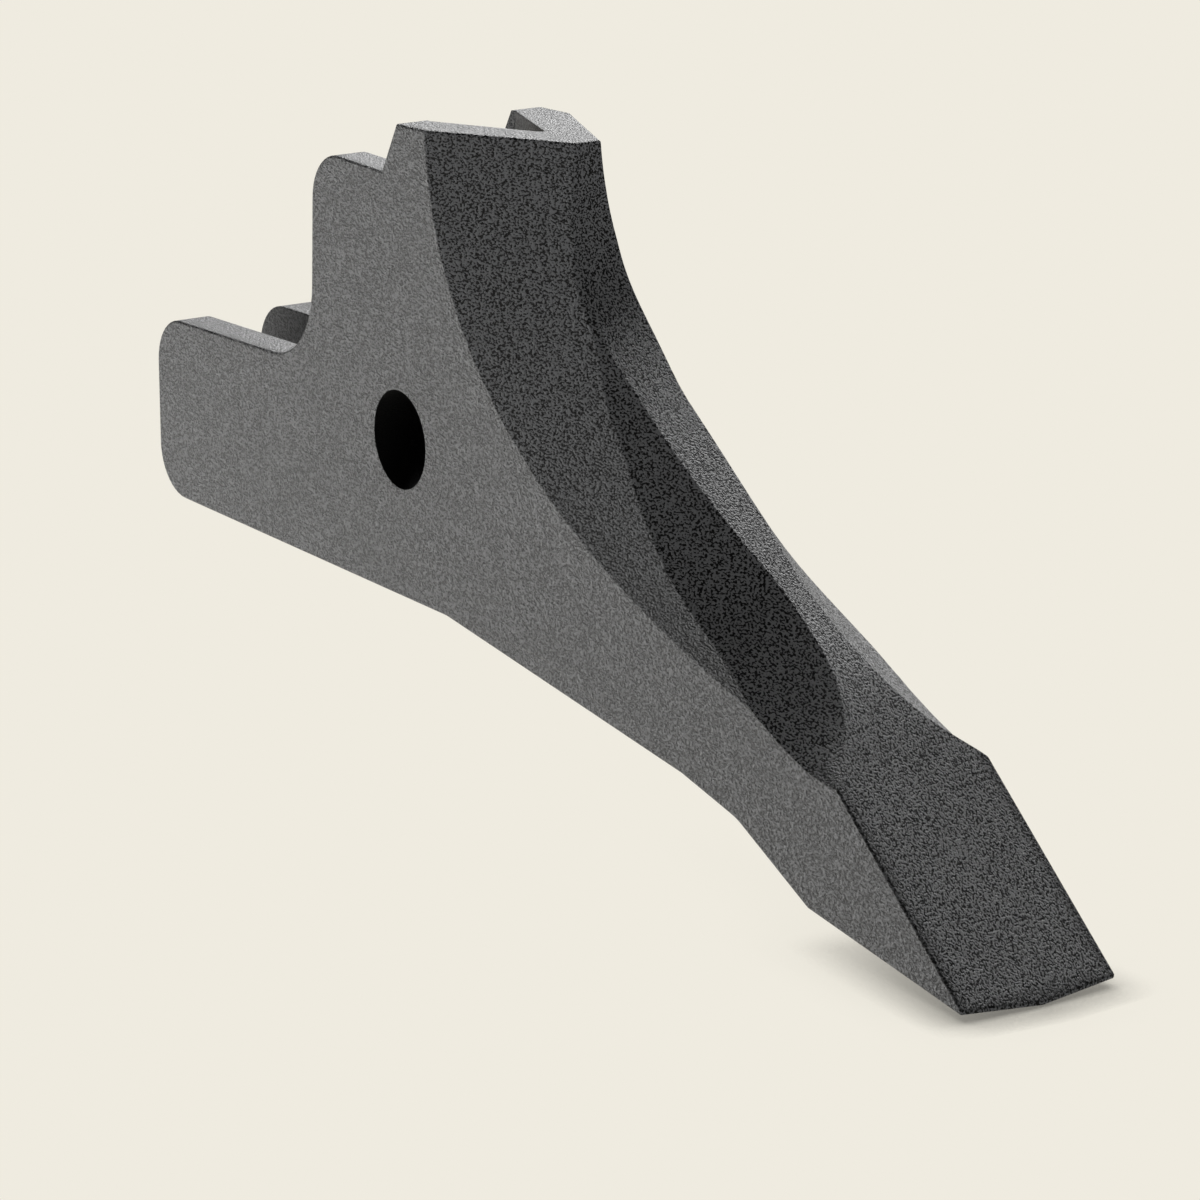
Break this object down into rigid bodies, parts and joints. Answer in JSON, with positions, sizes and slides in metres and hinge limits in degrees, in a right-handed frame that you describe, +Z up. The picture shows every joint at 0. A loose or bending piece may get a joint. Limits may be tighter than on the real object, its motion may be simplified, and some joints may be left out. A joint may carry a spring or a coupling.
{
  "type": "ripper shank tooth",
  "caption": "One-piece cast ripper tooth: two cheeks straddle the shank plate on a cross pin, a long curved wedge runs down to a chisel-shaped cutting edge.",
  "frame": {"origin": "on the cross pin bore's axis, midway between the two cheeks", "axes": "+X forward to the cutting edge, +Y along the pin bore, +Z up to the crown, square to the line of the cheeks' base"},
  "size_m": [0.5277, 0.06, 0.228],
  "materials": {
    "cast_steel": "dark grey sand-cast skin, fine-grained and matt"
  },
  "bodies": {
    "root": {"ripper_tooth": "cast_steel"}
  },
  "joints": []
}
